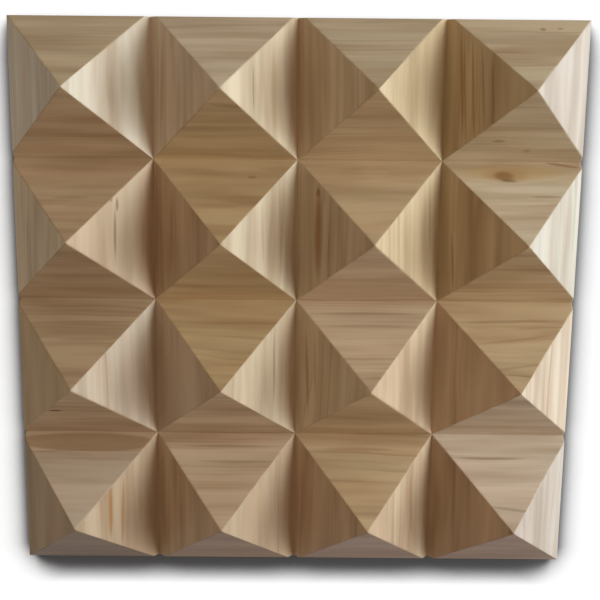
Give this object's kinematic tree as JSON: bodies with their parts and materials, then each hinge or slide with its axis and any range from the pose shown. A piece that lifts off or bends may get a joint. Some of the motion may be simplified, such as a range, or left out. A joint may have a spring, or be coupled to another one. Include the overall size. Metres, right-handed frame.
{
  "type": "acoustic scattering panel",
  "caption": "Square wooden wall or ceiling panel whose face is a grid of sharp square pyramids, glued up from V-grooved mitred softwood blocks, which scatters sound.",
  "frame": {"origin": "middle of the flat back, which lies on the floor", "axes": "+Z from the back to the points of the pyramids, +X to the right and +Y up in the picture, both along the sawn edges"},
  "size_m": [0.6, 0.6, 0.09],
  "materials": {
    "softwood": "sanded, unvarnished"
  },
  "bodies": {
    "root": {"cross_valley_1_block_1": "softwood", "cross_valley_1_block_2": "softwood", "cross_valley_1_block_3": "softwood", "cross_valley_1_block_4": "softwood", "cross_valley_2_block_1": "softwood", "cross_valley_2_block_2": "softwood", "cross_valley_2_block_3": "softwood", "cross_valley_2_block_4": "softwood", "cross_valley_3_block_1": "softwood", "cross_valley_3_block_2": "softwood", "cross_valley_3_block_3": "softwood", "cross_valley_3_block_4": "softwood", "long_valley_1_block_1": "softwood", "long_valley_1_block_2": "softwood", "long_valley_1_block_3": "softwood", "long_valley_1_block_4": "softwood", "long_valley_2_block_1": "softwood", "long_valley_2_block_2": "softwood", "long_valley_2_block_3": "softwood", "long_valley_2_block_4": "softwood", "long_valley_3_block_1": "softwood", "long_valley_3_block_2": "softwood", "long_valley_3_block_3": "softwood", "long_valley_3_block_4": "softwood", "front_edge_block_1": "softwood", "front_edge_block_2": "softwood", "front_edge_block_3": "softwood", "front_edge_block_4": "softwood", "rear_edge_block_1": "softwood", "rear_edge_block_2": "softwood", "rear_edge_block_3": "softwood", "rear_edge_block_4": "softwood", "left_edge_block_1": "softwood", "left_edge_block_2": "softwood", "left_edge_block_3": "softwood", "left_edge_block_4": "softwood", "right_edge_block_1": "softwood", "right_edge_block_2": "softwood", "right_edge_block_3": "softwood", "right_edge_block_4": "softwood"}
  },
  "joints": []
}
